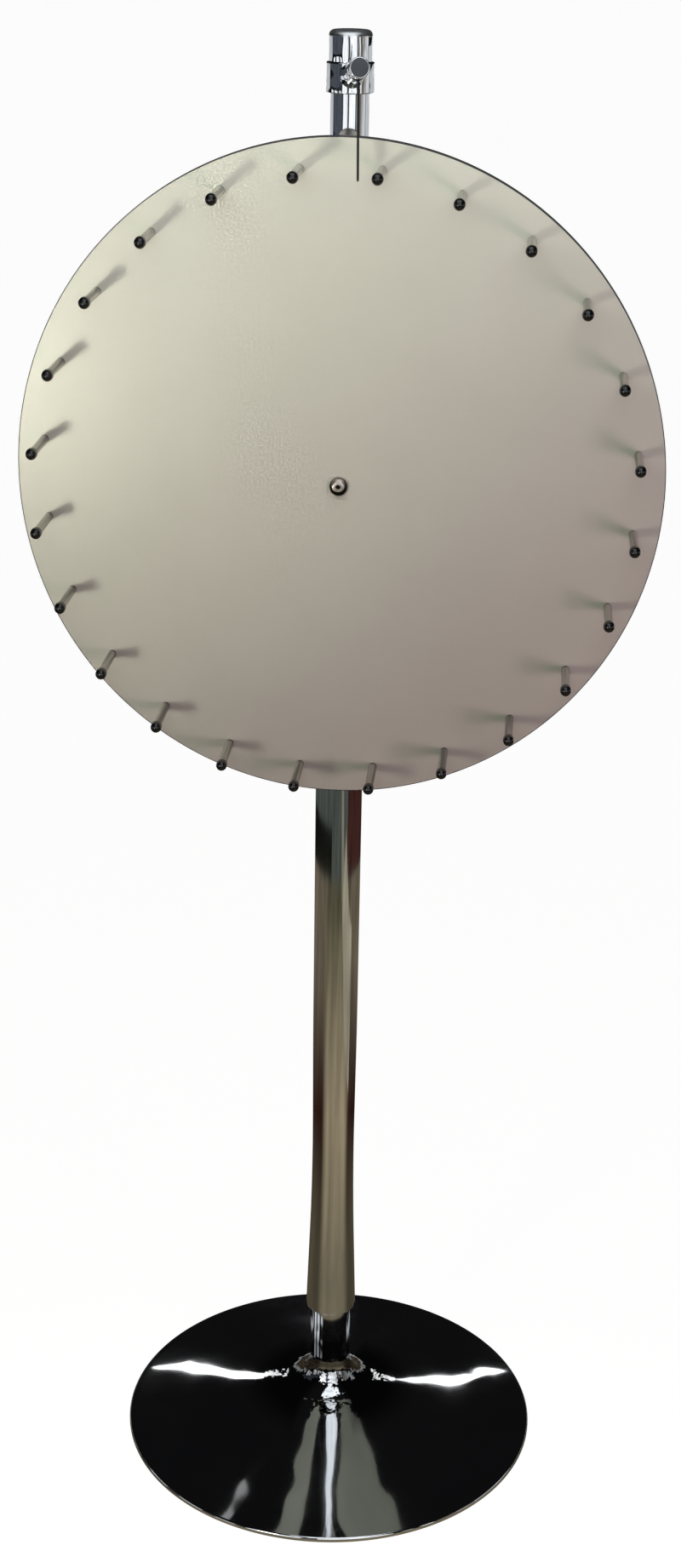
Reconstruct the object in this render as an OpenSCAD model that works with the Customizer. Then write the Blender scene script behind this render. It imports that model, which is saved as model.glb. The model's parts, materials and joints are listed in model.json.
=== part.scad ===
// Floor-standing carnival game wheel: a pegged board on a telescopic chrome stand, with a sprung flapper.
// Millimetres, Z up, origin on the floor at the pole's axis, wheel facing -Y.

/* [Wheel] */
// Diameter of the wheel over its edge band
wheel_d = 610; // [520:1:700]
// Thickness of the board
wheel_t = 10; // [9:0.5:14]
// Thickness of the band round the board's edge
edge_band_t = 1; // [0.6:0.1:2]
// Number of pegs
peg_count = 24; // [12:1:30]
// Distance of the pegs' centres from the wheel's edge
peg_inset = 25; // [18:0.5:40]
// Angle of the first peg from the wheel's right-hand side
peg_turn = 7.9; // [0:0.1:15]
// Diameter of a peg's rod
peg_d = 8; // [7:0.5:9]
// Length of a peg's rod in front of the board
peg_l = 58; // [50:1:65]
// Diameter of a peg's black end
peg_cap_d = 10.4; // [9.6:0.1:11.4]
// Length of a peg's black end
peg_cap_l = 10; // [8:0.5:14]
// Diameter of the screw that holds a peg
peg_screw_d = 4; // [3:0.5:4]
// Depth of that screw in the rod
peg_screw_grip = 13; // [8:1:25]

/* [Hub] */
// Diameter of the hub's flange
flange_d = 90; // [80:1:120]
// Thickness of the hub's flange
flange_t = 6; // [4:0.5:8]
// Diameter of the hub's barrel
barrel_d = 34; // [30:0.5:40]
// Number of screws through the flange
flange_screw_count = 6; // [4:1:8]
// Diameter of the circle of flange screws
flange_screw_circle = 66; // [58:1:70]
// Diameter of a flange screw
flange_screw_d = 4; // [3:0.5:5]
// Depth of a flange screw in the board
flange_screw_grip = 6; // [4:0.5:7]
// Diameter of the axle
axle_d = 8; // [7.5:0.1:8]
// Outer diameter of a bearing
bearing_d = 22; // [22:0.5:24]
// Width of a bearing
bearing_w = 7; // [6:0.5:8]
// Distance between the two bearings
bearing_gap = 8; // [4:0.5:12]
// Gap between the saddle and the rear bearing
hub_standoff = 6.6; // [6:0.1:12]
// Diameter of the black washer at the wheel's centre
front_washer_d = 17.2; // [15:0.1:22]
// Diameter of the axle screw's head
axle_head_d = 16.4; // [15:0.1:17]

/* [Stand] */
// Height of the wheel's axis above the floor
hub_h = 1130; // [1110:1:1200]
// Diameter of the foot
base_d = 480; // [460:1:540]
// Slope of the foot's dish in degrees
dish_slope = 13.5; // [12:0.1:15]
// Height of the foot's rim
rim_h = 6; // [5.5:0.1:8]
// Radius of the rim's rounded edge
rim_round = 3; // [2.5:0.1:4]
// Wall of the foot's shell
base_wall = 2; // [1.5:0.1:2.4]
// Diameter of the foot's neck
neck_d = 46; // [44:0.5:47]
// Radius of the curve from the dish to the neck
neck_fillet = 40; // [30:1:45]
// Height of the neck's upper end, where the pole stands
neck_top = 190; // [180:1:200]
// Diameter of the lower tube
lower_d = 48; // [47:0.5:52]
// Wall of both tubes of the pole's lower part
lower_wall = 2; // [1.5:0.1:2.2]
// Height of the lower tube's upper end
lower_top = 930; // [900:1:935]
// Height where the lower tube starts to narrow
taper_h = 520; // [450:1:530]
// Diameter at the narrowest place of the lower tube
waist_d = 45.5; // [45:0.1:47]
// Height of that place
waist_h = 335; // [300:1:380]
// Diameter of the flared lower end
skirt_d = 57.5; // [56:0.1:62]
// Height of the flared lower end above the floor
skirt_h = 160; // [140:1:170]
// Diameter of the upper tube
upper_d = 35; // [34:0.1:36]
// Wall of the upper tube
upper_wall = 1.5; // [1.2:0.1:2]
// How far the pole can be raised
raise = 150; // [80:1:155]
// Length of the bush between the tubes
bush_l = 80; // [60:1:90]

/* [Flapper] */
// Height of the collar's middle above the peg circle
collar_rise = 67.5; // [60:0.5:80]
// Height of the collar
collar_h = 25; // [22:0.5:30]
// Diameter of the collar
collar_d = 43; // [42:0.5:46]
// Height of the cap above the collar
cap_h = 26; // [20:0.5:32]
// Diameter of the cap
cap_d = 39; // [38:0.5:41]
// Radius of the cap's upper edge
cap_round = 5; // [3:0.5:6]
// Turn of the arm to the right of straight ahead
arm_yaw = 9.2; // [0:0.1:10]
// Rise of the arm above level
arm_pitch = 8.8; // [5:0.1:10]
// Reach of the arm from the pole's axis
arm_l = 98; // [94:0.5:110]
// Diameter of the arm
arm_d = 17.5; // [17:0.1:19]
// Wall of the arm round its bore
arm_wall = 2; // [1.5:0.1:2.2]
// Thickness of the flapper's blade
blade_t = 1.2; // [1:0.1:2]
// Width of the flapper's blade
blade_w = 12; // [10:0.5:16]
// How far the blade reaches below the pegs' centres
blade_bite = 7.2; // [4:0.1:12]

/* [Fits] */
// Radial clearance of a piece that turns or slides in another
running = 0.08; // [0.05:0.01:0.1]
// Radial clearance round a screw or sleeve
loose = 0.1; // [0.05:0.01:0.2]
// Gap between flat faces that pass each other
pass_gap = 0.5; // [0.4:0.05:0.8]

/* [Hidden] */
$fn = 72;

// Small amount by which a cut runs past the face it opens
past = 1;

// Foot
base_r = base_d / 2;
neck_r = neck_d / 2;
rim_lift = 1;
ring_t = 4;
ring_w = 32;
ring_edge_gap = 8;
ring_r = base_r - ring_edge_gap;
ballast_edge_gap = 25;
ballast_seat_w = 25;
ballast_r = base_r - ballast_edge_gap;
ballast_boss_r = 40;
ballast_boss_h = 12;
ballast_pocket_r = 25;
rod_d = 12;
rod_nut_h = 10;
rod_nut_across = 19;
rod_washer_t = 2.5;
rod_washer_r = 18;
rod_end = 1;
plug_h = 25;
neck_plate_t = 6;
pocket_roof = ring_t + rod_end + rod_nut_h + rod_washer_t + rod_end;

// Height of the dish's underside at a radius
function dish_under(r) = rim_h - base_wall / cos(dish_slope) + (base_r - r) * tan(dish_slope);
// Points of an arc from one angle to another
function arc(x, y, r, from, to, n = 10) =
    [for (i = [0 : n]) let (a = from + (to - from) * i / n) [x + r * cos(a), y + r * sin(a)]];

rim_mid = rim_h - rim_round * (1 - sin(dish_slope)) / cos(dish_slope);
fillet_mid = rim_h + (neck_fillet + (base_r - neck_r - neck_fillet) * sin(dish_slope)) / cos(dish_slope);

// Lower tube
function between(h, h0, r0, h1, r1) = r0 + (r1 - r0) * (h - h0) / (h1 - h0);
function flare_r(h) = between(h, skirt_h, skirt_d / 2, waist_h, waist_d / 2);
lower_r = lower_d / 2;
lower_bore_r = lower_r - lower_wall;

// Height clamp
clamp_wall = 6;
clamp_h = 30;
clamp_slit = 4;
ear_t = 8;
ear_end = 14;
ear_root = 2;
stud_d = 8;
stud_r = stud_d / 2;
knob_r = 20;
knob_clear = 1;
clamp_r = lower_r + clamp_wall;
clamp_mid = lower_top - clamp_h / 2;
stud_y = clamp_r + knob_clear + knob_r;
ear_reach = stud_y + ear_end - clamp_r;
ear_face = clamp_slit / 2 + ear_t;
clamp_washer_t = 2;
clamp_washer_r = 9;
clamp_nut_h = 6.5;
clamp_nut_across = 13;
knob_t = 18;
knob_lobes = 5;
knob_notch_r = 8;
knob_notch_at = 24;
knob_hub_r = 8;
knob_hub_t = 4;
knob_bore = 14;

// Upper tube and its guides
upper_r = upper_d / 2;
upper_bore_r = upper_r - upper_wall;
bush_flange_t = 4;
bush_low = lower_top - bush_l;
stop_gap = 2;
slider_flange_t = 14;
slider_plug_l = 20;
mast_low = bush_low - raise - stop_gap;

// Wheel axis, measured forward from the pole's axis
saddle_wall = 4.9;
saddle_w = 30;
saddle_h = 36;
saddle_wrap = 12.4;
axle_r = axle_d / 2;
axle_shank_r = axle_r - loose / 2;
axle_hole_r = axle_r + loose;
saddle_f = upper_r + saddle_wall;
rear_f = saddle_f + hub_standoff;
middle_f = rear_f + bearing_w;
front_f = middle_f + bearing_gap;
back_f = front_f + bearing_w;
face_f = back_f + wheel_t;
wheel_r = wheel_d / 2;
board_r = wheel_r - edge_band_t;
peg_r = wheel_r - peg_inset;
peg_step = 360 / peg_count;
washer_f = face_f + pass_gap;
washer_t = 1.5;
head_f = washer_f + washer_t;
axle_head_h = 5;
axle_head_edge = 4.2;
axle_key = 5;
axle_key_depth = 2.5;
spacer_wall = 1.65;
spacer_r = axle_hole_r + spacer_wall;
centre_play = 0.75;
centre_hole_r = spacer_r + centre_play;
rear_washer_r = 8;
rear_washer_t = 1.6;
nut_h = 6.5;
nut_across = 13;
axle_tail = 2.5;
sleeve_wall = 1.9;
sleeve_r = axle_hole_r + sleeve_wall;

// Bearings
bearing_r = bearing_d / 2;
ball_r = 1.98;
ball_play = 0.1;
ball_count = 7;
ball_circle_r = (axle_r + bearing_r) / 2;
inner_shoulder = 1.5;
outer_shoulder = 1.7;
inner_race_r = ball_circle_r - inner_shoulder;
outer_race_r = ball_circle_r + outer_shoulder;
shield_t = 0.5;
shield_in = 0.4;
shield_gap = 0.3;
rib_w = 1.5;
rib_r = bearing_r - rib_w;
circlip_t = 1.1;
circlip_groove = 0.5;
circlip_w = 1.7;
circlip_split = 4;
hub_tail = 4;

// Fasteners of the board
peg_screw_r = peg_screw_d / 2;
peg_head_r = 3.8;
peg_head_h = 2.6;
peg_washer_r = 5;
peg_washer_t = 1;
peg_stub_r = 2.5;
peg_stub_l = 5;
flange_screw_r = flange_screw_d / 2;
flange_head_r = 4.2;
flange_head_h = 2.4;

// Flapper
collar_mid = hub_h + peg_r + collar_rise;
collar_top = collar_mid + collar_h / 2;
collar_r = collar_d / 2;
cap_top = collar_top + cap_h;
cap_roof = 5;
cap_r = cap_d / 2;
arm_r = arm_d / 2;
arm_bore_r = arm_r - arm_wall;
arm_seat = 1.5;
arm_root = upper_r + arm_seat;
plug_in = 5.1;
plug_face_t = 1.2;
plug_face_inset = 1.05;
plug_face_r = arm_r - plug_face_inset;
spindle_gap = 0.4;
spindle_r = arm_bore_r - running;
spindle_end_w = 1.5;
spindle_high = arm_l - plug_in - spindle_gap;
spindle_low = spindle_high - blade_w - 2 * spindle_end_w;
tail_l = 11;
tail_r = 3;
bush_high = spindle_low - spindle_gap;
return_bush_l = 14;
arm_bore_low = bush_high - return_bush_l;
blade_mid = (spindle_low + spindle_high) / 2;
blade_root = 2;
blade_corner = 3;
slot_w = 11.2;
pivot_h = collar_mid + blade_mid * sin(arm_pitch);
blade_l = (pivot_h - (hub_h + peg_r - blade_bite)) / cos(arm_pitch);
rivet_r = 1;
rivet_drop = 2;
rivet_spread = 6;
grub_r = 2.5;
grub_l = 5.5;
grub_key = 2.5;
grub_key_depth = 2;

// Placing helpers
// The wheel's axis: local z runs forward from the pole, local y runs up
module on_axle() translate([0, 0, hub_h]) rotate([90, 0, 0]) children();
// The arm's axis: local z runs out along the arm, local y runs up
module on_arm() translate([0, 0, collar_mid]) rotate([90 - arm_pitch, 0, arm_yaw]) children();
// The clamp stud's axis: local z runs to the right
module on_stud() translate([0, stud_y, clamp_mid]) rotate([0, 90, 0]) children();
// One copy at each peg
module at_pegs()
    for (i = [0 : peg_count - 1])
        rotate([0, 0, peg_turn + i * peg_step]) translate([peg_r, 0, 0]) children();
// One copy at each flange screw
module at_flange_screws()
    for (i = [0 : flange_screw_count - 1])
        rotate([0, 0, i * 360 / flange_screw_count]) translate([flange_screw_circle / 2, 0, 0]) children();
// One copy at the rear of each bearing
module at_bearings()
    for (f = [rear_f, front_f]) translate([0, 0, f]) children();

// A round piece between two stations with a round hole
module ring(from, to, r, hole_r)
    translate([0, 0, from]) difference() {
        cylinder(h = to - from, r = r);
        translate([0, 0, -past]) cylinder(h = to - from + 2 * past, r = hole_r);
    }
// A hexagonal piece between two stations
module hexagon(from, to, across)
    translate([0, 0, from]) cylinder(h = to - from, d = across / cos(30), $fn = 6);

// Foot
module base_shell() color("gainsboro") rotate_extrude() polygon(concat(
    [[base_r, rim_lift]],
    arc(base_r - rim_round, rim_mid, rim_round, 0, 90 - dish_slope, 6),
    arc(neck_r + neck_fillet, fillet_mid, neck_fillet, 270 - dish_slope, 180, 12),
    [[neck_r, neck_top], [neck_r - base_wall, neck_top]],
    arc(neck_r + neck_fillet, fillet_mid, neck_fillet + base_wall, 180, 270 - dish_slope, 12),
    arc(base_r - rim_round, rim_mid, rim_round - base_wall, 90 - dish_slope, 0, 6),
    [[base_r - base_wall, rim_lift]]));

module neck_plate() color("dimgray")
    ring(neck_top - neck_plate_t, neck_top, neck_r - base_wall, rod_d / 2 + loose);

module ballast() color("dimgray") {
    seat_r = ballast_r - ballast_seat_w;
    top = dish_under(seat_r);
    rotate_extrude() polygon([
        [rod_d / 2 + loose, pocket_roof], [ballast_pocket_r, pocket_roof], [ballast_pocket_r, ring_t],
        [ballast_r, ring_t], [ballast_r, dish_under(ballast_r)], [seat_r, top],
        [ballast_boss_r, top], [ballast_boss_r, top + ballast_boss_h],
        [rod_d / 2 + loose, top + ballast_boss_h]]);
}

module floor_ring() color("black") ring(0, ring_t, ring_r, ring_r - ring_w);

module tie_rod() color("silver")
    translate([0, 0, ring_t]) cylinder(h = neck_top + plug_h - ring_t, d = rod_d - loose);

module rod_washer() color("silver")
    ring(pocket_roof - rod_washer_t, pocket_roof, rod_washer_r, rod_d / 2 + loose);

module rod_nut() color("silver") difference() {
    hexagon(pocket_roof - rod_washer_t - rod_nut_h, pocket_roof - rod_washer_t, rod_nut_across);
    cylinder(h = pocket_roof, d = rod_d);
}

// Lower tube and what it holds
module lower_pole() color("gainsboro") rotate_extrude() polygon([
    [skirt_d / 2, skirt_h], [waist_d / 2, waist_h], [lower_r, taper_h], [lower_r, lower_top],
    [lower_bore_r, lower_top], [lower_bore_r, taper_h], [waist_d / 2 - lower_wall, waist_h],
    [skirt_d / 2 - lower_wall, skirt_h]]);

module pole_plug() color("dimgray") rotate_extrude() polygon([
    [rod_d / 2, neck_top], [flare_r(neck_top) - lower_wall, neck_top],
    [flare_r(neck_top + plug_h) - lower_wall, neck_top + plug_h], [rod_d / 2, neck_top + plug_h]]);

module guide_bush() color("black") difference() {
    union() {
        translate([0, 0, bush_low]) cylinder(h = bush_l, r = lower_bore_r);
        translate([0, 0, lower_top]) cylinder(h = bush_flange_t, r = lower_r);
    }
    translate([0, 0, bush_low - past]) cylinder(h = bush_l + bush_flange_t + 2 * past, r = upper_r + running);
}

module mast_clamp() color("gainsboro") difference() {
    union() {
        translate([0, 0, lower_top - clamp_h]) cylinder(h = clamp_h, r = clamp_r);
        translate([-ear_face, lower_r + ear_root, lower_top - clamp_h])
            cube([2 * ear_face, clamp_wall + ear_reach - ear_root, clamp_h]);
    }
    translate([0, 0, lower_top - clamp_h - past]) cylinder(h = clamp_h + 2 * past, r = lower_r);
    translate([-clamp_slit / 2, 0, lower_top - clamp_h - past])
        cube([clamp_slit, clamp_r + ear_reach + past, clamp_h + 2 * past]);
    on_stud() translate([0, 0, -ear_face - past]) cylinder(h = 2 * (ear_face + past), r = stud_r);
}

module clamp_nut() color("silver") on_stud() difference() {
    hexagon(-ear_face - clamp_nut_h, -ear_face, clamp_nut_across);
    translate([0, 0, -ear_face - clamp_nut_h - past]) cylinder(h = clamp_nut_h + 2 * past, r = stud_r);
}

// Clamp knob
module clamp_stud() color("silver") on_stud()
    translate([0, 0, -ear_face - clamp_nut_h - rod_end])
        cylinder(h = 2 * ear_face + clamp_nut_h + rod_end + clamp_washer_t + knob_bore, r = stud_r - running);

module clamp_washer() color("silver") on_stud()
    ring(ear_face, ear_face + clamp_washer_t, clamp_washer_r, stud_r);

module clamp_knob() color("black") on_stud() translate([0, 0, ear_face + clamp_washer_t]) difference() {
    union() {
        cylinder(h = knob_hub_t, r = knob_hub_r);
        translate([0, 0, knob_hub_t]) cylinder(h = knob_t, r = knob_r);
    }
    for (i = [0 : knob_lobes - 1])
        rotate([0, 0, i * 360 / knob_lobes]) translate([knob_notch_at, 0, knob_hub_t - past])
            cylinder(h = knob_t + 2 * past, r = knob_notch_r);
    translate([0, 0, -past]) cylinder(h = knob_bore + past, r = stud_r - running);
}

// Upper tube and what it holds
module upper_pole() color("gainsboro") difference() {
    ring(mast_low, cap_top - cap_roof, upper_r, upper_bore_r);
    on_axle() translate([0, 0, -upper_d]) cylinder(h = 2 * upper_d, r = axle_hole_r);
}

module mast_slider() color("black") union() {
    translate([0, 0, mast_low - slider_flange_t]) cylinder(h = slider_flange_t, r = lower_bore_r - running);
    translate([0, 0, mast_low]) cylinder(h = slider_plug_l, r = upper_bore_r);
}

module top_cap() color("gainsboro") rotate_extrude() polygon(concat(
    [[upper_r, collar_top], [cap_r, collar_top]],
    arc(cap_r - cap_round, cap_top - cap_round, cap_round, 0, 90, 8),
    [[0, cap_top], [0, cap_top - cap_roof], [upper_r, cap_top - cap_roof]]));

// Flapper's holder
module flapper_bracket() color("gainsboro") difference() {
    union() {
        ring(collar_top - collar_h, collar_top, collar_r, upper_r);
        on_arm() translate([0, 0, arm_root]) cylinder(h = arm_l - arm_root, r = arm_r);
    }
    on_arm() translate([0, 0, arm_bore_low]) cylinder(h = arm_l - arm_bore_low + past, r = arm_bore_r);
    on_arm() translate([-slot_w / 2, -arm_d, spindle_low])
        cube([slot_w, arm_d, spindle_high - spindle_low]);
    translate([0, upper_r - past, collar_mid]) rotate([-90, 0, 0]) cylinder(h = collar_d, r = grub_r);
}

module collar_screw() color("dimgray") translate([0, upper_r, collar_mid]) rotate([-90, 0, 0]) difference() {
    cylinder(h = grub_l, r = grub_r);
    hexagon(grub_l - grub_key_depth, grub_l + past, grub_key);
}

module arm_plug() color("dimgray") on_arm() union() {
    translate([0, 0, arm_l - plug_in]) cylinder(h = plug_in, r = arm_bore_r);
    translate([0, 0, arm_l]) cylinder(h = plug_face_t, r = plug_face_r);
}

module return_bush() color("black") on_arm() ring(arm_bore_low, bush_high, arm_bore_r, tail_r + running);

// Flapper
module flapper_spindle() color("silver") on_arm() difference() {
    union() {
        translate([0, 0, spindle_low]) cylinder(h = spindle_high - spindle_low, r = spindle_r);
        translate([0, 0, spindle_low - tail_l]) cylinder(h = tail_l, r = tail_r);
    }
    translate([-blade_t / 2, -arm_d, blade_mid - blade_w / 2]) cube([blade_t, arm_d + blade_root, blade_w]);
    rivet_places() cylinder(h = arm_d, r = rivet_r, center = true);
}

// One copy at each rivet, across the blade
module rivet_places()
    for (side = [-1, 1])
        translate([0, -rivet_drop, blade_mid + side * rivet_spread / 2]) rotate([0, 90, 0]) children();

module flapper_blade() color("black") on_arm() difference() {
    translate([0, 0, blade_mid]) rotate([0, 90, 0]) linear_extrude(blade_t, center = true) union() {
        translate([-blade_w / 2, blade_corner - blade_l]) square([blade_w, blade_l + blade_root - blade_corner]);
        translate([blade_corner - blade_w / 2, -blade_l])
            square([blade_w - 2 * blade_corner, blade_l]);
        for (side = [-1, 1])
            translate([side * (blade_w / 2 - blade_corner), blade_corner - blade_l]) circle(r = blade_corner);
    }
    rivet_places() cylinder(h = arm_d, r = rivet_r, center = true);
}

module flapper_rivets() color("silver") on_arm() rivet_places()
    cylinder(h = 2 * sqrt(spindle_r * spindle_r - (rivet_drop + rivet_r) * (rivet_drop + rivet_r)),
             r = rivet_r, center = true);

// Axle through the upper tube
module saddle_block(y) difference() {
    translate([-saddle_w / 2, y, hub_h - saddle_h / 2]) cube([saddle_w, saddle_wrap, saddle_h]);
    translate([0, 0, hub_h - saddle_h]) cylinder(h = 2 * saddle_h, r = upper_r);
    on_axle() translate([0, 0, -2 * saddle_f]) cylinder(h = 4 * saddle_f, r = axle_hole_r);
}
module front_saddle() color("dimgray") saddle_block(-saddle_f);
module rear_saddle() color("dimgray") saddle_block(saddle_f - saddle_wrap);

module axle_sleeve() color("silver") intersection() {
    on_axle() ring(-upper_r, upper_r, sleeve_r, axle_hole_r);
    translate([0, 0, hub_h - saddle_h]) cylinder(h = 2 * saddle_h, r = upper_bore_r);
}

module axle_screw() color("silver") on_axle() difference() {
    tail_f = -saddle_f - rear_washer_t - nut_h - axle_tail;
    union() {
        translate([0, 0, tail_f]) cylinder(h = head_f - tail_f, r = axle_shank_r);
        translate([0, 0, head_f]) rotate_extrude() polygon(concat(
            [[0, 0], [axle_head_d / 2, 0]],
            arc(axle_head_d / 2 - axle_head_edge, axle_head_h - axle_head_edge, axle_head_edge, 0, 90, 10),
            [[0, axle_head_h]]));
    }
    hexagon(head_f + axle_head_h - axle_key_depth, head_f + axle_head_h + past, axle_key);
}

module front_washer() color("black") on_axle() ring(washer_f, head_f, front_washer_d / 2, axle_hole_r);

module axle_spacers() color("silver") on_axle() {
    ring(saddle_f, rear_f, spacer_r, axle_hole_r);
    ring(middle_f, front_f, spacer_r, axle_hole_r);
    ring(back_f, washer_f, spacer_r, axle_hole_r);
}

module rear_washer() color("silver") on_axle()
    ring(-saddle_f - rear_washer_t, -saddle_f, rear_washer_r, axle_hole_r);

module axle_nut() color("silver") on_axle() difference() {
    hexagon(-saddle_f - rear_washer_t - nut_h, -saddle_f - rear_washer_t, nut_across);
    translate([0, 0, -2 * saddle_f]) cylinder(h = 2 * saddle_f, r = axle_r);
}

// Bearings
module race_groove() rotate_extrude()
    translate([ball_circle_r, bearing_w / 2]) circle(r = ball_r + ball_play);

module inner_races() color("silver") on_axle() at_bearings() difference() {
    ring(0, bearing_w, inner_race_r, axle_r);
    race_groove();
}

module outer_races() color("silver") on_axle() at_bearings() difference() {
    ring(0, bearing_w, bearing_r, outer_race_r);
    race_groove();
}

module bearing_balls() color("white") on_axle() at_bearings()
    for (i = [0 : ball_count - 1])
        rotate([0, 0, i * 360 / ball_count]) translate([ball_circle_r, 0, bearing_w / 2]) sphere(r = ball_r);

module bearing_shields() color("black") on_axle() at_bearings()
    for (f = [shield_in, bearing_w - shield_in - shield_t])
        ring(f, f + shield_t, outer_race_r, inner_race_r + shield_gap);

// Wheel
module wheel_disc() color("ivory") on_axle() difference() {
    ring(back_f, face_f, board_r, centre_hole_r);
    at_pegs() translate([0, 0, back_f - past]) cylinder(h = wheel_t + 2 * past, r = peg_screw_r + loose);
    at_flange_screws() translate([0, 0, back_f - past]) cylinder(h = flange_screw_grip + past, r = flange_screw_r);
}

module edge_band() color("dimgray") on_axle() ring(back_f, face_f, wheel_r, board_r);

module wheel_hub() color("silver") on_axle() difference() {
    union() {
        translate([0, 0, back_f - flange_t]) cylinder(h = flange_t, d = flange_d);
        translate([0, 0, rear_f - hub_tail]) cylinder(h = back_f - rear_f + hub_tail - flange_t, d = barrel_d);
    }
    translate([0, 0, front_f]) cylinder(h = bearing_w + past, r = bearing_r);
    translate([0, 0, rear_f - hub_tail - past]) cylinder(h = hub_tail + bearing_w + past, r = bearing_r);
    translate([0, 0, middle_f - past]) cylinder(h = bearing_gap + 2 * past, r = rib_r);
    translate([0, 0, rear_f - circlip_t]) cylinder(h = circlip_t, r = bearing_r + circlip_groove);
    at_flange_screws() translate([0, 0, back_f - flange_t - past])
        cylinder(h = flange_t + 2 * past, r = flange_screw_r + loose);
}

module circlip() color("dimgray") on_axle() difference() {
    ring(rear_f - circlip_t, rear_f, bearing_r + circlip_groove, bearing_r + circlip_groove - circlip_w);
    translate([0, -circlip_split / 2, rear_f - circlip_t - past])
        cube([bearing_d, circlip_split, circlip_t + 2 * past]);
}

module hub_screws() color("dimgray") on_axle() at_flange_screws() {
    translate([0, 0, back_f - flange_t - flange_head_h]) cylinder(h = flange_head_h, r = flange_head_r);
    translate([0, 0, back_f - flange_t]) cylinder(h = flange_t + flange_screw_grip, r = flange_screw_r - loose / 2);
}

module pegs() color("silver") on_axle() at_pegs() difference() {
    union() {
        translate([0, 0, face_f]) cylinder(h = peg_l, d = peg_d);
        translate([0, 0, face_f + peg_l]) cylinder(h = peg_stub_l, r = peg_stub_r);
    }
    translate([0, 0, face_f - past]) cylinder(h = peg_screw_grip + 2 * past, r = peg_screw_r);
}

module peg_caps() color("black") on_axle() at_pegs() translate([0, 0, face_f + peg_l]) difference() {
    union() {
        cylinder(h = peg_cap_l - peg_cap_d / 2, d = peg_cap_d);
        translate([0, 0, peg_cap_l - peg_cap_d / 2]) sphere(d = peg_cap_d);
    }
    translate([0, 0, -peg_cap_d]) cylinder(h = peg_cap_d, d = 2 * peg_cap_d);
    translate([0, 0, -past]) cylinder(h = peg_stub_l + past, r = peg_stub_r);
}

module peg_washers() color("silver") on_axle() at_pegs()
    ring(back_f - peg_washer_t, back_f, peg_washer_r, peg_screw_r + loose);

module peg_screws() color("silver") on_axle() at_pegs() {
    translate([0, 0, back_f - peg_washer_t - peg_head_h]) cylinder(h = peg_head_h, r = peg_head_r);
    translate([0, 0, back_f - peg_washer_t])
        cylinder(h = peg_washer_t + wheel_t + peg_screw_grip, r = peg_screw_r - loose / 2);
}

base_shell();
neck_plate();
ballast();
floor_ring();
tie_rod();
rod_washer();
rod_nut();
lower_pole();
pole_plug();
guide_bush();
mast_clamp();
clamp_nut();
clamp_stud();
clamp_knob();
clamp_washer();
upper_pole();
mast_slider();
top_cap();
flapper_bracket();
collar_screw();
arm_plug();
return_bush();
front_saddle();
rear_saddle();
axle_sleeve();
axle_screw();
front_washer();
axle_spacers();
inner_races();
rear_washer();
axle_nut();
wheel_disc();
edge_band();
wheel_hub();
hub_screws();
outer_races();
bearing_balls();
bearing_shields();
circlip();
pegs();
peg_caps();
peg_screws();
peg_washers();
flapper_blade();
flapper_spindle();
flapper_rivets();
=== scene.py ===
import json
from math import asin, atan2, cos, hypot, pi, radians, sin, tan

import bmesh
import bpy
from mathutils import Matrix, Vector


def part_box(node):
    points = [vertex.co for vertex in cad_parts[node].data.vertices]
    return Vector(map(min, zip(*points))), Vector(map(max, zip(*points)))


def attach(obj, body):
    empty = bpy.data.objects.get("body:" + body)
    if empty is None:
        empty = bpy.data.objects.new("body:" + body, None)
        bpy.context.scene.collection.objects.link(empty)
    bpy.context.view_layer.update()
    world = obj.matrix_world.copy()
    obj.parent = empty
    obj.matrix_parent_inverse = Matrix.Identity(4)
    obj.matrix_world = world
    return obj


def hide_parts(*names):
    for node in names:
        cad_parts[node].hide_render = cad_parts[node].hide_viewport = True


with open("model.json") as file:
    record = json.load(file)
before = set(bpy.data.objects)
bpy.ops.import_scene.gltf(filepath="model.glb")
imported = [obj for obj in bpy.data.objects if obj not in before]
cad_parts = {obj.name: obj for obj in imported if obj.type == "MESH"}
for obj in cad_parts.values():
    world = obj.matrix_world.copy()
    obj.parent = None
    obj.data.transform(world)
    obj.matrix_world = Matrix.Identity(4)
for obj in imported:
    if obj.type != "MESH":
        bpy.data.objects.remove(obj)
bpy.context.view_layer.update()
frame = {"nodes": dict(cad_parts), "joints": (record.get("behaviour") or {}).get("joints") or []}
joints = {joint["name"]: joint for joint in frame["joints"]}
print("frame loaded:", len(frame["nodes"]), "nodes")


# Measures from the frame, in millimetres

def span(node):
    low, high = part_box(node)
    return low * 1000, high * 1000


hubHeight = joints["wheel_spin"]["pos_m"][2] * 1000
armPivot = Vector(joints["flapper_swing"]["pos_m"]) * 1000
armAxis = Vector(joints["flapper_swing"]["axis"])
armYaw = atan2(armAxis.x, -armAxis.y)
armPitch = asin(armAxis.z)
collarMid = armPivot.z - hypot(armPivot.x, armPivot.y) * tan(armPitch)
studPoint = Vector(joints["knob_turn"]["pos_m"]) * 1000

# Local Z runs forward on the axle, outward on the arm and to the right on the stud
onAxle = Matrix.Translation((0, 0, hubHeight)) @ Matrix.Rotation(pi / 2, 4, "X")
onArm = (Matrix.Translation((0, 0, collarMid)) @ Matrix.Rotation(armYaw, 4, "Z")
         @ Matrix.Rotation(pi / 2 - armPitch, 4, "X"))
onStud = Matrix.Translation((0, studPoint.y, studPoint.z)) @ Matrix.Rotation(pi / 2, 4, "Y")
toMetres = Matrix.Scale(0.001, 4)


# Shaping tools, in millimetres

cutNear, cutPast = 1, 5  # how far a cutting shape runs past what it cuts
weld = 0.002  # points closer than this become one
arcStep, arcLeast = radians(6), 5  # turn in each step of a rounding, and its fewest steps


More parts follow.
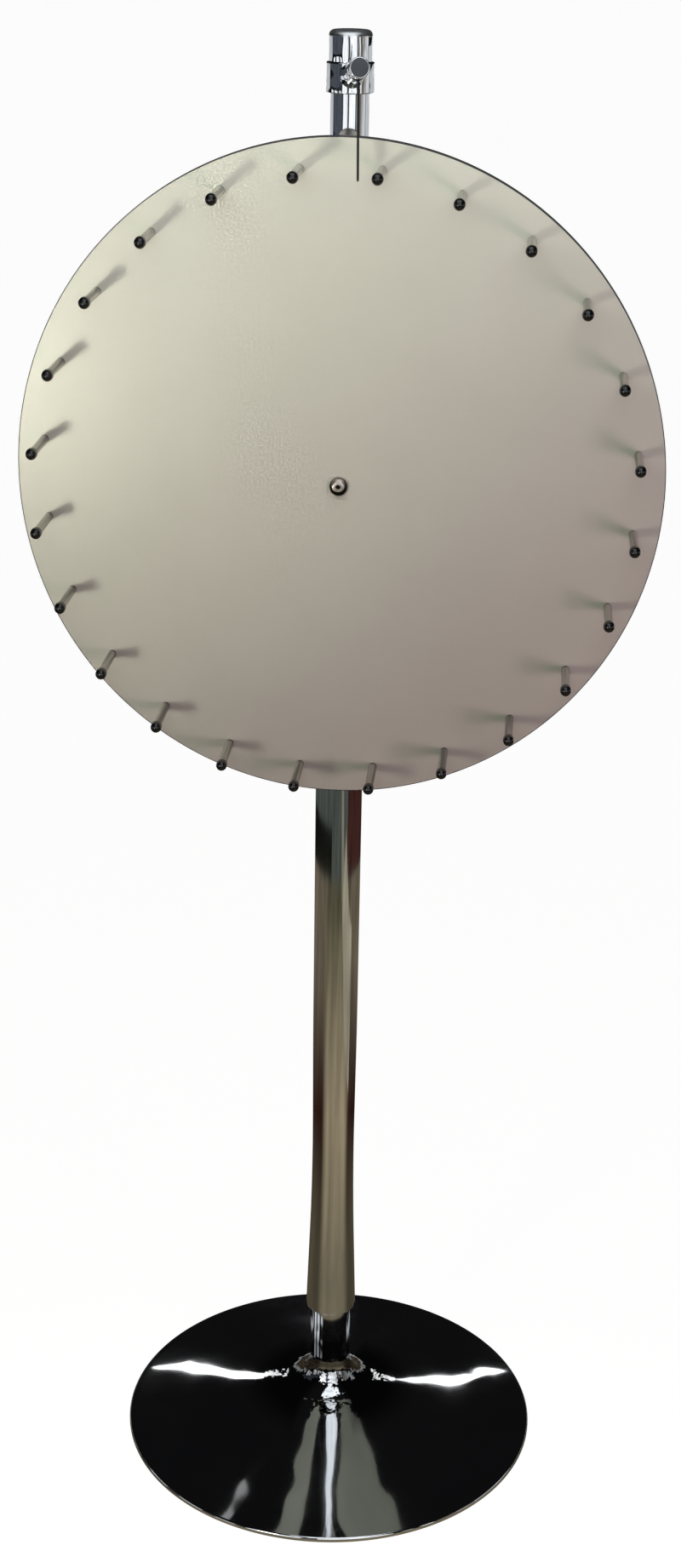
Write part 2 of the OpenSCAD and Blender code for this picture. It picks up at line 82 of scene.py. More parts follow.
def rounded(corners, closed):  # (radius, height, rounding) corners to points, with each rounding as an arc
    points = []
    for i, (radius, height, bend) in enumerate(corners):
        here = Vector((radius, height))
        if not bend or (not closed and i in (0, len(corners) - 1)):
            points.append(here)
            continue
        before = (Vector(corners[i - 1][:2]) - here).normalized()
        after = (Vector(corners[(i + 1) % len(corners)][:2]) - here).normalized()
        turn = pi - before.angle(after)
        centre = here + (before + after).normalized() * bend / cos(turn / 2)
        spoke = here + before * bend * tan(turn / 2) - centre
        side = 1 if before.cross(after) < 0 else -1
        steps = max(arcLeast, round(turn / arcStep))
        for k in range(steps + 1):
            points.append(centre + Matrix.Rotation(side * turn * k / steps, 2) @ spoke)
    return points


def lathe(corners, sides=96, closed=True):  # a turned shape about local Z; an open outline ends on the axis
    bm = bmesh.new()
    verts = [bm.verts.new((p.x, 0, p.y)) for p in rounded(corners, closed)]
    edges = [bm.edges.new(pair) for pair in zip(verts, verts[1:])]
    if closed:
        edges.append(bm.edges.new((verts[-1], verts[0])))
    bmesh.ops.spin(bm, geom=verts + edges, cent=(0, 0, 0), axis=(0, 0, 1), angle=2 * pi, steps=sides,
                   use_merge=True)
    bmesh.ops.remove_doubles(bm, verts=bm.verts, dist=weld)
    bmesh.ops.recalc_face_normals(bm, faces=bm.faces)
    return bm


def block(low, high):
    bm = bmesh.new()
    bmesh.ops.create_cube(bm, size=1)
    size = Vector(high) - Vector(low)
    middle = (Vector(high) + Vector(low)) / 2
    bmesh.ops.scale(bm, vec=size, verts=bm.verts)
    bmesh.ops.translate(bm, vec=middle, verts=bm.verts)
    return bm


def rod(radius, low, high, sides=48):
    bm = bmesh.new()
    bmesh.ops.create_cone(bm, cap_ends=True, segments=sides, radius1=radius, radius2=radius,
                          depth=high - low)
    bmesh.ops.translate(bm, vec=(0, 0, (low + high) / 2), verts=bm.verts)
    return bm


def hexagon(across, low, high):
    return rod(across / 2 / cos(pi / 6), low, high, sides=6)


def place(bm, matrix):
    bmesh.ops.transform(bm, matrix=matrix, verts=bm.verts)
    return bm


def looseObject(bm):
    mesh = bpy.data.meshes.new("loose")
    bm.to_mesh(mesh)
    bm.free()
    loose = bpy.data.objects.new("loose", mesh)
    bpy.context.scene.collection.objects.link(loose)
    return loose


def combine(bm, tool, operation="DIFFERENCE"):  # cuts, joins or intersects two closed shapes
    host = looseObject(bm)
    guest = looseObject(tool)
    cut = host.modifiers.new("cut", "BOOLEAN")
    cut.operation = operation
    cut.solver = "EXACT"
    cut.object = guest
    result = bpy.data.meshes.new_from_object(host.evaluated_get(bpy.context.evaluated_depsgraph_get()))
    made = bmesh.new()
    made.from_mesh(result)
    for loose in (host, guest):
        bpy.data.meshes.remove(loose.data)
    bpy.data.meshes.remove(result)
    bmesh.ops.remove_doubles(made, verts=made.verts, dist=weld)
    return made


def copies(bm, places):  # one copy of a shape at each place
    single = bpy.data.meshes.new("single")
    bm.to_mesh(single)
    bm.free()
    made = bmesh.new()
    for matrix in places:
        moved = single.copy()
        moved.transform(matrix)
        made.from_mesh(moved)
        bpy.data.meshes.remove(moved)
    bpy.data.meshes.remove(single)
    return made


def roundPlaces(count, radius, turn=0):  # places at equal steps about local Z, from a turn in degrees
    places = []
    for i in range(count):
        angle = radians(turn) + 2 * pi * i / count
        places.append(Matrix.Rotation(angle, 4, "Z") @ Matrix.Translation((radius, 0, 0)))
    return places


def softenEdges(bm, width, segments=3, over=50):  # rounds every edge sharper than an angle
    bmesh.ops.dissolve_limit(bm, angle_limit=radians(0.5), verts=bm.verts, edges=bm.edges)
    sharp = [e for e in bm.edges if len(e.link_faces) == 2 and e.calc_face_angle() > radians(over)]
    bmesh.ops.bevel(bm, geom=sharp, offset=width, offset_type="OFFSET", segments=segments, profile=0.5,
                    affect="EDGES", clamp_overlap=True, material=-1)
    return bm


def makePiece(name, bm, body, finish, slot, *nodes, sharp=32):
    bm.transform(toMetres)
    bmesh.ops.recalc_face_normals(bm, faces=bm.faces)
    mesh = bpy.data.meshes.new(name)
    bm.to_mesh(mesh)
    bm.free()
    mesh.shade_smooth()
    mesh.set_sharp_from_angle(angle=radians(sharp))
    mesh.materials.append(finish)
    piece = bpy.data.objects.new(name, mesh)
    bpy.context.scene.collection.objects.link(piece)
    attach(piece, body)
    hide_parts(*nodes)
    return piece


# Material tools

def newFinish(name, colour, metallic, roughness):
    material = bpy.data.materials.new(name)
    material.use_nodes = True
    shader = material.node_tree.nodes["Principled BSDF"]
    shader.inputs["Base Color"].default_value = (*colour, 1)
    shader.inputs["Metallic"].default_value = metallic
    shader.inputs["Roughness"].default_value = roughness
    return material, material.node_tree, shader


def addNode(tree, kind, inputs=None, **settings):
    made = tree.nodes.new("ShaderNode" + kind)
    for key, value in settings.items():
        setattr(made, key, value)
    for key, value in (inputs or {}).items():
        made.inputs[key].default_value = value
    return made


def placed(tree, centre=(0, 0, 0), stretch=(1, 1, 1), turn=0):  # object coordinates about a centre
    space = addNode(tree, "TexCoord")
    shift = addNode(tree, "Mapping", {"Location": [-c * s for c, s in zip(centre, stretch)],
                                      "Rotation": (0, turn, 0), "Scale": stretch})
    tree.links.new(space.outputs["Object"], shift.inputs["Vector"])
    return shift.outputs["Vector"]


def pattern(tree, scale, stretch=(1, 1, 1), turn=0, detail=3, rough=0.5):
    noise = addNode(tree, "TexNoise", {"Scale": scale, "Detail": detail, "Roughness": rough})
    tree.links.new(placed(tree, stretch=stretch, turn=turn), noise.inputs["Vector"])
    return noise.outputs["Fac"]


def rings(tree, scale, centre, distortion=1.0):  # turning marks about a line along Y
    marks = {"Scale": scale, "Distortion": distortion, "Detail": 3, "Detail Scale": 2}
    wave = addNode(tree, "TexWave", marks, wave_type="RINGS", rings_direction="Y")
    tree.links.new(placed(tree, centre), wave.inputs["Vector"])
    return wave.outputs["Fac"]


def nearness(tree, centre, reach):  # 1 at the centre, 0 at the reach; an axis with no reach is left out
    run = addNode(tree, "TexGradient", gradient_type="SPHERICAL")
    tree.links.new(placed(tree, centre, [1 / r if r else 0 for r in reach]), run.inputs["Vector"])
    return run.outputs["Fac"]


def remapped(tree, source, low, high, first, last, blend="LINEAR"):
    ends = {"From Min": low, "From Max": high, "To Min": first, "To Max": last}
    spread = addNode(tree, "MapRange", ends, interpolation_type=blend)
    tree.links.new(source, spread.inputs["Value"])
    return spread.outputs["Result"]


def combined(tree, operation, first, second):
    made = addNode(tree, "Math", operation=operation, use_clamp=True)
    tree.links.new(first, made.inputs[0])
    tree.links.new(second, made.inputs[1])
    return made.outputs["Value"]


def colourRamp(tree, source, *stops):
    ramp = addNode(tree, "ValToRGB")
    elements = ramp.color_ramp.elements
    while len(elements) < len(stops):
        elements.new(0.5)
    for element, (position, colour) in zip(elements, stops):
        element.position = position
        element.color = (*colour, 1)
    tree.links.new(source, ramp.inputs["Fac"])
    return ramp.outputs["Color"]


def colourStops(tree, shader, source, *stops):
    tree.links.new(colourRamp(tree, source, *stops), shader.inputs["Base Color"])


def colourBetween(tree, shader, source, dark, light, low=0.3, high=0.7):
    colourStops(tree, shader, source, (low, dark), (high, light))


def darkened(tree, shader, source, dark, low, high):  # dims the colour already there, most at low
    dimmed = addNode(tree, "MixRGB", {"Fac": 1}, blend_type="MULTIPLY")
    tree.links.new(shader.inputs["Base Color"].links[0].from_socket, dimmed.inputs["Color1"])
    tree.links.new(remapped(tree, source, low, high, dark, 1), dimmed.inputs["Color2"])
    tree.links.new(dimmed.outputs["Color"], shader.inputs["Base Color"])


def roughnessBetween(tree, shader, source, smooth, dull, low=0.3, high=0.7):
    tree.links.new(remapped(tree, source, low, high, smooth, dull), shader.inputs["Roughness"])


def relief(tree, shader, source, strength, depth):  # a bump that adds to the one already there
    bump = addNode(tree, "Bump", {"Strength": strength, "Distance": depth})
    earlier = shader.inputs["Normal"].links
    if earlier:
        tree.links.new(earlier[0].from_socket, bump.inputs["Normal"])
    tree.links.new(source, bump.inputs["Height"])
    tree.links.new(bump.outputs["Normal"], shader.inputs["Normal"])


# Finishes

def polishedChrome(name, rippleScale, rippleDepth, smooth=0.03, dull=0.085, wornFrom=None, wornOver=None):
    dim, bright, worn = (0.60, 0.61, 0.62), (0.67, 0.68, 0.69), 0.4
    material, tree, shader = newFinish(name, (0.64, 0.65, 0.66), 1, smooth)
    haze = pattern(tree, 11, detail=6, rough=0.6)
    colourBetween(tree, shader, haze, dim, bright)
    if wornFrom:
        roughnessBetween(tree, shader, nearness(tree, wornFrom, wornOver), smooth, worn, 0, 0.5)
    else:
        roughnessBetween(tree, shader, haze, smooth, dull, 0.35, 0.75)
    relief(tree, shader, pattern(tree, rippleScale, detail=1), 1, rippleDepth)
    relief(tree, shader, pattern(tree, 420, stretch=(1, 1, 0.12), detail=2), 0.15, 0.00002)
    return material


# dark is how far the painted shade round the neck dims the chrome's colour
neck = dict(dentsAt=0.058, dentsOver=(0.085, 0.085, 0.036), dentScale=75, dentDepth=0.0022, tubeAt=0.098,
            tubeOver=0.032, bendAt=0.068, bendOver=0.03, brightStrip=0.036, dark=0.3)


def footFinish():  # chrome that is dented round the neck, with painted shade dimming its reflections there, apart from a strip front and back
    material = polishedChrome("footChrome", 10, 0.002)
    tree = material.node_tree
    shader = tree.nodes["Principled BSDF"]
    near = nearness(tree, (0, 0, neck["dentsAt"]), neck["dentsOver"])
    dents = combined(tree, "MULTIPLY", pattern(tree, neck["dentScale"], detail=2), near)
    relief(tree, shader, dents, 1, neck["dentDepth"])
    # Painted shade: the chrome's colour is dimmed near the tube's end and round the bend, standing in for
    # dark reflections
    shadeAtTubeEnd = nearness(tree, (0, 0, neck["tubeAt"]), (0, 0, neck["tubeOver"]))
    darkened(tree, shader, shadeAtTubeEnd, neck["dark"], 0.5, 0.1)
    bend = nearness(tree, (0, 0, neck["bendAt"]), (0, 0, neck["bendOver"]))
    strip = nearness(tree, (0, 0, 0), (neck["brightStrip"], 0, 0))
    darkened(tree, shader, combined(tree, "SUBTRACT", bend, strip), neck["dark"], 0.3, 0.02)
    return material


def creamLaminate():
    material, tree, shader = newFinish("creamLaminate", (0.80, 0.78, 0.72), 0, 0.36)
    clouds = pattern(tree, 5, detail=8, rough=0.65)
    colourBetween(tree, shader, clouds, (0.775, 0.757, 0.70), (0.825, 0.81, 0.755))
    wipes = pattern(tree, 9, stretch=(1, 1, 0.16), turn=radians(35), detail=5, rough=0.6)
    roughnessBetween(tree, shader, wipes, 0.258, 0.272)
    relief(tree, shader, pattern(tree, 900, detail=2), 0.25, 0.00006)
    return material


def edgeTape():
    material, tree, shader = newFinish("edgeTape", (0.05, 0.05, 0.055), 0, 0.5)
    scuffs = pattern(tree, 60, stretch=(1, 6, 1), detail=5)
    colourBetween(tree, shader, scuffs, (0.035, 0.035, 0.04), (0.10, 0.10, 0.10), 0.35, 0.8)
    roughnessBetween(tree, shader, scuffs, 0.42, 0.62)
    relief(tree, shader, pattern(tree, 1500), 0.2, 0.00005)
    return material


def drawnAluminium(foot, length):  # streaked lengthwise and darker towards the foot, with a painted dark ring of shade where the rod meets the board
    bright, dull, footShade = (0.46, 0.44, 0.40), (0.37, 0.35, 0.315), (0.03, 0.026, 0.022)
    material, tree, shader = newFinish("drawnAluminium", bright, 1, 0.15)
    lines = pattern(tree, 900, stretch=(1, 0.02, 1), detail=4)
    streaks = pattern(tree, 300, stretch=(1, 0.02, 1), detail=1)
    # Painted shade: the colour darkens towards the foot and turns near black in a ring where the rod meets
    # the board
    colourStops(tree, shader, nearness(tree, foot, length), (0, bright), (0.92, dull), (0.95, footShade))
    darkened(tree, shader, streaks, 0.4, 0.4, 0.55)
    roughnessBetween(tree, shader, lines, 0.09, 0.2)
    relief(tree, shader, lines, 0.3, 0.00004)
    return material


def glossBlackCap():
    material, tree, shader = newFinish("glossBlackCap", (0.006, 0.005, 0.006), 0, 0.16)
    rub = pattern(tree, 380, detail=5, rough=0.6)
    colourBetween(tree, shader, rub, (0.005, 0.0045, 0.005), (0.012, 0.011, 0.012), 0.4, 0.8)
    roughnessBetween(tree, shader, rub, 0.1, 0.22)
    relief(tree, shader, pattern(tree, 1800), 0.15, 0.00004)
    return material


def greyPlug():
    material, tree, shader = newFinish("greyPlug", (0.055, 0.066, 0.076), 0, 0.5)
    grain = pattern(tree, 1100, detail=3)
    colourBetween(tree, shader, pattern(tree, 160, detail=5), (0.026, 0.032, 0.047), (0.035, 0.042, 0.061))
    roughnessBetween(tree, shader, grain, 0.45, 0.6)
    relief(tree, shader, grain, 0.35, 0.00008)
    return material


def bladeBlack():
    material, tree, shader = newFinish("bladeBlack", (0.006, 0.006, 0.0065), 0, 0.6)
    shader.inputs["Specular IOR Level"].default_value = 0.25
    rub = pattern(tree, 240, stretch=(1, 1, 0.15), detail=5)
    colourBetween(tree, shader, rub, (0.003, 0.003, 0.0035), (0.009, 0.009, 0.0095), 0.4, 0.8)
    roughnessBetween(tree, shader, rub, 0.5, 0.7)
    relief(tree, shader, rub, 0.2, 0.00006)
    return material


def zincSteel(name, colour, roughness):
    material, tree, shader = newFinish(name, colour, 1, roughness)
    clouds = pattern(tree, 130, detail=5, rough=0.6)
    dark = [0.86 * c for c in colour]
    light = [1.08 * c for c in colour]
    colourBetween(tree, shader, clouds, dark, light)
    roughnessBetween(tree, shader, clouds, 0.7 * roughness, 1.3 * roughness)
    relief(tree, shader, pattern(tree, 1400), 0.2, 0.00004)
    return material


def socketScrew(centre, lift, reach):  # a socket painted dark as shade, a turned face, and painted shade on the edge, most below
    material, tree, shader = newFinish("socketScrew", (0.42, 0.37, 0.32), 1, 0.34)
    socketShade, groove, bright = (0.016, 0.011, 0.009), (0.36, 0.31, 0.27), (0.50, 0.44, 0.385)
    across = nearness(tree, centre, reach)
    # The socket's hollow is painted near black as shade
    colourStops(tree, shader, across,
                (0.44, bright), (0.5, groove), (0.56, bright), (0.69, bright), (0.73, socketShade))
    # Painted shade: the edge darkens about a centre lifted up, so most below the head
    shadeCentre = [c + l for c, l in zip(centre, lift)]
    darkened(tree, shader, nearness(tree, shadeCentre, reach), 0.03, 0.19, 0.27)
    roughnessBetween(tree, shader, pattern(tree, 500, detail=4), 0.28, 0.42)
    relief(tree, shader, rings(tree, 60, centre, 0), 0.3, 0.0001)
    return material


def turnedAlloy():
    material, tree, shader = newFinish("turnedAlloy", (0.60, 0.61, 0.62), 1, 0.34)
    marks = rings(tree, 420, (0, 0, hubHeight / 1000))
    colourBetween(tree, shader, pattern(tree, 45, detail=5), (0.55, 0.56, 0.57), (0.65, 0.66, 0.67))
    roughnessBetween(tree, shader, marks, 0.26, 0.42, 0, 1)
    relief(tree, shader, marks, 0.2, 0.00003)
    return material


def mouldedBlack(name, colour, roughness, grainScale, grainDepth):
    material, tree, shader = newFinish(name, colour, 0, roughness)
    grain = pattern(tree, grainScale, detail=4)
    worn = [1.9 * c for c in colour]
    colourBetween(tree, shader, pattern(tree, 50, detail=6), colour, worn, 0.4, 0.85)
    roughnessBetween(tree, shader, grain, 0.85 * roughness, min(1, 1.15 * roughness))
    relief(tree, shader, grain, 0.4, grainDepth)
    return material


footChrome = footFinish()
lowerChrome = polishedChrome("lowerChrome", 14, 0.0002, 0.05, 0.09)
upperChrome = polishedChrome("upperChrome", 22, 0.0006)
castChrome = polishedChrome("castChrome", 40, 0.0011)
boardFinish = creamLaminate()
edgeFinish = edgeTape()
capFinish = glossBlackCap()
plugFinish = greyPlug()
bladeFinish = bladeBlack()
steelFinish = zincSteel("zincSteel", (0.56, 0.56, 0.57), 0.3)
bearingFinish = zincSteel("bearingSteel", (0.66, 0.66, 0.67), 0.14)
alloyFinish = turnedAlloy()
nylonFinish = mouldedBlack("blackNylon", (0.016, 0.016, 0.017), 0.5, 900, 0.0001)
ironFinish = mouldedBlack("paintedIron", (0.03, 0.03, 0.031), 0.6, 160, 0.0006)
rubberFinish = mouldedBlack("footRubber", (0.02, 0.02, 0.02), 0.8, 600, 0.0002)
print("finishes made:", len(bpy.data.materials))


# Foot and lower tube

foot = dict(slope=13.5, rimHeight=6, rimRound=3, wall=2, neckBend=40, lip=0.6, inner=1, sides=256)
low, high = span("base_shell")
footRadius = -low.y
neckRadius = span("neck_plate")[1].x + foot["wall"]
rise = tan(radians(foot["slope"]))
under = foot["rimHeight"] - foot["wall"] / cos(radians(foot["slope"]))
makePiece("footShell", lathe([
    (footRadius, low.z, foot["lip"]),
    (footRadius, foot["rimHeight"], foot["rimRound"]),
    (neckRadius, foot["rimHeight"] + (footRadius - neckRadius) * rise, foot["neckBend"]),
    (neckRadius, high.z, foot["lip"]),
    (neckRadius - foot["wall"], high.z, 0),
    (neckRadius - foot["wall"], under + (footRadius - neckRadius + foot["wall"]) * rise,
     foot["neckBend"] + foot["wall"]),
    (footRadius - foot["wall"], under + foot["wall"] * rise, foot["inner"]),
    (footRadius - foot["wall"], low.z, foot["lip"]),
], foot["sides"]), "stand", footChrome, "chrome", "base_shell")

ring = dict(edge=0.8, sides=192, inner=200)
low, high = span("floor_ring")
makePiece("floorRing", lathe([
    (high.x, low.z, ring["edge"]),
    (high.x, high.z, ring["edge"]),
    (ring["inner"], high.z, ring["edge"]),
    (ring["inner"], low.z, ring["edge"]),
], ring["sides"]), "stand", rubberFinish, "rubber", "floor_ring")

tube = dict(waist=22.75, waistHeight=335, taperHeight=520, wall=2, lip=0.6, waistBend=3600, taperBend=9000,
            sides=128)
low, high = span("lower_pole")
lowerRadius = span("guide_bush")[1].x
inside = lowerRadius - tube["wall"]
makePiece("lowerTube", lathe([
    (-low.x, low.z, tube["lip"]),
    (tube["waist"], tube["waistHeight"], tube["waistBend"]),
    (lowerRadius, tube["taperHeight"], tube["taperBend"]),
    (lowerRadius, high.z, tube["lip"]),
    (inside, high.z, tube["lip"]),
    (inside, tube["taperHeight"], tube["taperBend"]),
    (tube["waist"] - tube["wall"], tube["waistHeight"], tube["waistBend"]),
    (-low.x - tube["wall"], low.z, tube["lip"]),
], tube["sides"]), "stand", lowerChrome, "chrome", "lower_pole")

bush = dict(flange=4, edge=1.2, bore=17.58, tail=0.5, lip=0.3)
low, high = span("guide_bush")
makePiece("guideBush", lathe([
    (inside, low.z, bush["tail"]),
    (inside, high.z - bush["flange"], 0),
    (lowerRadius, high.z - bush["flange"], bush["lip"]),
    (lowerRadius, high.z, bush["edge"]),
    (bush["bore"], high.z, bush["edge"] / 2),
    (bush["bore"], low.z, bush["tail"]),
]), "stand", nylonFinish, "black_nylon", "guide_bush")
print("foot and lower tube made")


# Height clamp behind the wheel

clamp = dict(slit=4, ear=8, earRoot=2, edge=1.2, lip=0.4, radius=30, hole=4, holeReach=40)
low, high = span("mast_clamp")
earFace = clamp["slit"] / 2 + clamp["ear"]
body = lathe([
    (clamp["radius"], low.z, clamp["edge"]),
    (clamp["radius"], high.z, clamp["edge"]),
    (lowerRadius, high.z, clamp["lip"]),
    (lowerRadius, low.z, clamp["lip"]),
], sides=128)
ears = block((-earFace, lowerRadius + clamp["earRoot"], low.z), (earFace, high.y, high.z))
body = combine(body, softenEdges(ears, clamp["edge"]), "UNION")
body = combine(body, block((-clamp["slit"] / 2, 0, low.z - cutPast),
                           (clamp["slit"] / 2, high.y + cutPast, high.z + cutPast)))
body = combine(body, place(rod(clamp["hole"], -clamp["holeReach"], clamp["holeReach"]), onStud))
makePiece("mastClamp", body, "stand", castChrome, "chrome", "mast_clamp")


def washer(inner, outer, low, high, edge=0.25, sides=64):
    return lathe([(outer, low, edge), (outer, high, edge), (inner, high, edge), (inner, low, edge)], sides)


def hexNut(across, bore, low, high, chamfer=0.9):
    corner = across / 2 / cos(pi / 6)
    nut = combine(hexagon(across, low, high), lathe([
        (0, low, 0), (corner - chamfer, low, 0), (corner, low + chamfer / 2, 0),
        (corner, high - chamfer / 2, 0), (corner - chamfer, high, 0), (0, high, 0),
    ], sides=72, closed=False), "INTERSECT")
    return combine(nut, rod(bore, low - cutNear, high + cutNear))


stud = dict(radius=3.92, across=13, chamfer=0.6)
low, high = span("clamp_stud")
makePiece("clampStud", place(lathe([
    (0, low.x, 0), (stud["radius"], low.x, stud["chamfer"]), (stud["radius"], high.x, stud["chamfer"]),
    (0, high.x, 0),
], sides=48, closed=False), onStud), "knob", steelFinish, "steel", "clamp_stud")
low, high = span("clamp_nut")
makePiece("clampNut", place(hexNut(stud["across"], clamp["hole"], low.x, high.x), onStud),
          "stand", steelFinish, "steel", "clamp_nut")
low, high = span("clamp_washer")
makePiece("clampWasher", place(washer(clamp["hole"], high.y - studPoint.y, low.x, high.x), onStud),
          "stand", steelFinish, "steel", "clamp_washer")

knob = dict(lobes=5, notch=8, notchAt=24, hub=8, hubDepth=4, edge=2.2, lip=0.8)
low, high = span("clamp_knob")
star = rod(high.y - studPoint.y, low.x + knob["hubDepth"], high.x, sides=120)
for turned in roundPlaces(knob["lobes"], knob["notchAt"]):
    star = combine(star, place(rod(knob["notch"], low.x, high.x + cutPast), turned))
star = softenEdges(star, knob["edge"], segments=4)
star = combine(star, lathe([
    (0, low.x, 0), (knob["hub"], low.x, knob["lip"]), (knob["hub"], low.x + 2 * knob["hubDepth"], 0),
    (0, low.x + 2 * knob["hubDepth"], 0),
], sides=64, closed=False), "UNION")
star = combine(star, rod(stud["radius"], low.x - cutPast, span("clamp_stud")[1].x))
makePiece("clampKnob", place(star, onStud), "knob", nylonFinish, "black_nylon", "clamp_knob")
print("height clamp made")


# Upper tube, cap and the flapper's bracket

mast = dict(wall=1.5, lip=0.5, axleHole=4.1, holeReach=40, sides=128)
low, high = span("upper_pole")
upperRadius = high.x
body = lathe([
    (upperRadius, low.z, mast["lip"]),
    (upperRadius, high.z, mast["lip"]),
    (upperRadius - mast["wall"], high.z, mast["lip"]),
    (upperRadius - mast["wall"], low.z, mast["lip"]),
], mast["sides"])
body = combine(body, place(rod(mast["axleHole"], -mast["holeReach"], mast["holeReach"]), onAxle))
makePiece("upperTube", body, "mast", upperChrome, "chrome", "upper_pole")

cap = dict(shoulder=5, roof=5, lip=0.8, boreLip=0.3, worn=6)
low, high = span("top_cap")
capChrome = polishedChrome("capChrome", 40, 0.0011, wornFrom=(0, 0, high.z / 1000),
                           wornOver=(0, 0, cap["worn"] / 1000))
makePiece("topCap", lathe([
    (0, high.z, 0),
    (high.x, high.z, cap["shoulder"]),
    (high.x, low.z, cap["lip"]),
    (upperRadius, low.z, cap["boreLip"]),
    (upperRadius, high.z - cap["roof"], 0),
    (0, high.z - cap["roof"], 0),
], sides=128, closed=False), "mast", capChrome, "chrome", "top_cap")

arm = dict(radius=8.75, root=19, reach=98, bore=6.75, boreFrom=63.1, slotFrom=77.5, slotTo=92.5,
           slotWidth=11.2, slotDepth=20, flare=2.2, flareTo=33, flareBend=16, lip=1.0, collarLip=1.0,
           collarBore=0.3, screw=2.5)
low, high = span("flapper_bracket")
collarRadius = high.y
collarTop = span("top_cap")[0].z
body = lathe([
    (collarRadius, low.z, arm["collarLip"]),
    (collarRadius, collarTop, arm["collarLip"]),
    (upperRadius, collarTop, arm["collarBore"]),
    (upperRadius, low.z, arm["collarBore"]),
], sides=128)
limb = lathe([
    (0, arm["root"], 0),
    (arm["radius"] + arm["flare"], arm["root"], 0),
    (arm["radius"], arm["flareTo"], arm["flareBend"]),
    (arm["radius"], arm["reach"], arm["lip"]),
    (0, arm["reach"], 0),
], sides=96, closed=False)
body = combine(body, place(limb, onArm), "UNION")
body = combine(body, place(rod(arm["bore"], arm["boreFrom"], arm["reach"] + cutPast), onArm))
slot = block((-arm["slotWidth"] / 2, -arm["slotDepth"], arm["slotFrom"]),
             (arm["slotWidth"] / 2, 0, arm["slotTo"]))
body = combine(body, place(slot, onArm))
screwLine = Matrix.Translation((0, 0, collarMid)) @ Matrix.Rotation(-pi / 2, 4, "X")
screwHole = rod(arm["screw"], upperRadius - cutNear, collarRadius + cutPast)
body = combine(body, place(screwHole, screwLine))
makePiece("flapperBracket", body, "mast", castChrome, "chrome", "flapper_bracket", sharp=38)

plug = dict(depth=5.1, face=1.2, radius=7.7, edge=0.7, crown=0.25, tail=0.5)
makePiece("armPlug", place(lathe([
    (0, arm["reach"] - plug["depth"], 0),
    (arm["bore"], arm["reach"] - plug["depth"], plug["tail"]),
    (arm["bore"], arm["reach"], 0),
    (plug["radius"], arm["reach"], 0),
    (plug["radius"], arm["reach"] + plug["face"] - plug["crown"], plug["edge"]),
    (0, arm["reach"] + plug["face"], 0),
], sides=64, closed=False), onArm), "mast", plugFinish, "grey_plug", "arm_plug")

blade = dict(thickness=1.2, width=12, top=2, corner=3, edge=0.3)
bladeMid = armPivot.xy.length / cos(armPitch)
bladeTip = -(armPivot.z - span("flapper_blade")[0].z) / cos(armPitch)
bm = bmesh.new()
bmesh.ops.create_grid(bm, x_segments=1, y_segments=1, size=0.5)
bmesh.ops.scale(bm, vec=(blade["width"], blade["top"] - bladeTip, 1), verts=bm.verts)
bmesh.ops.translate(bm, vec=(0, (blade["top"] + bladeTip) / 2, 0), verts=bm.verts)
tips = [v for v in bm.verts if v.co.y < 0]
bmesh.ops.bevel(bm, geom=tips, offset=blade["corner"], segments=6, profile=0.5, affect="VERTICES",
                material=-1)
raised = bmesh.ops.extrude_face_region(bm, geom=bm.faces[:])["geom"]
raised = [g for g in raised if isinstance(g, bmesh.types.BMVert)]
bmesh.ops.translate(bm, vec=(0, 0, blade["thickness"]), verts=raised)
bmesh.ops.translate(bm, vec=(0, 0, -blade["thickness"] / 2), verts=bm.verts)
bmesh.ops.recalc_face_normals(bm, faces=bm.faces)
softenEdges(bm, blade["edge"], segments=2, over=60)
edgeOn = Matrix.Translation((0, 0, bladeMid)) @ Matrix.Rotation(pi / 2, 4, "Y")
makePiece("flapperBlade", place(bm, onArm @ edgeOn), "flapper", bladeFinish, "flapper", "flapper_blade")
print("upper tube, cap and bracket made")


# Wheel, with stations measured forward along its axis

board = dict(edge=0.5, centre=6.5, sides=256)
low, high = span("wheel_disc")
backStation, faceStation = -high.y, -low.y
boardRadius = high.x
makePiece("wheelBoard", place(lathe([
    (boardRadius, backStation, 0),
    (boardRadius, faceStation, 0),
    (board["centre"], faceStation, board["edge"]),
    (board["centre"], backStation, board["edge"]),
], board["sides"]), onAxle), "wheel", boardFinish, "board", "wheel_disc")

band = dict(edge=0.45, shy=0.1)
bandRadius = span("edge_band")[1].x - band["shy"]
makePiece("edgeBand", place(lathe([
    (bandRadius, backStation, band["edge"]),
    (bandRadius, faceStation, band["edge"]),
    (boardRadius, faceStation, 0),
    (boardRadius, backStation, 0),
], board["sides"]), onAxle), "wheel", edgeFinish, "edge", "edge_band")

peg = dict(count=24, turn=7.9, circle=280, radius=4, length=58, foot=0.2, edge=0.5, stub=2.5, stubLength=5,
           stubEdge=0.3)
pegTop = faceStation + peg["length"]
pegPlaces = roundPlaces(peg["count"], peg["circle"], peg["turn"])
rodFinish = drawnAluminium((0, -faceStation / 1000, 0), (0, peg["length"] / 1000, 0))
rodShape = lathe([
    (0, faceStation, 0),
    (peg["radius"], faceStation, peg["foot"]),
    (peg["radius"], pegTop, peg["edge"]),
    (peg["stub"], pegTop, 0),
    (peg["stub"], pegTop + peg["stubLength"], peg["stubEdge"]),
    (0, pegTop + peg["stubLength"], 0),
], sides=40, closed=False)
makePiece("pegRods", place(copies(rodShape, pegPlaces), onAxle), "wheel", rodFinish, "peg_metal", "pegs")

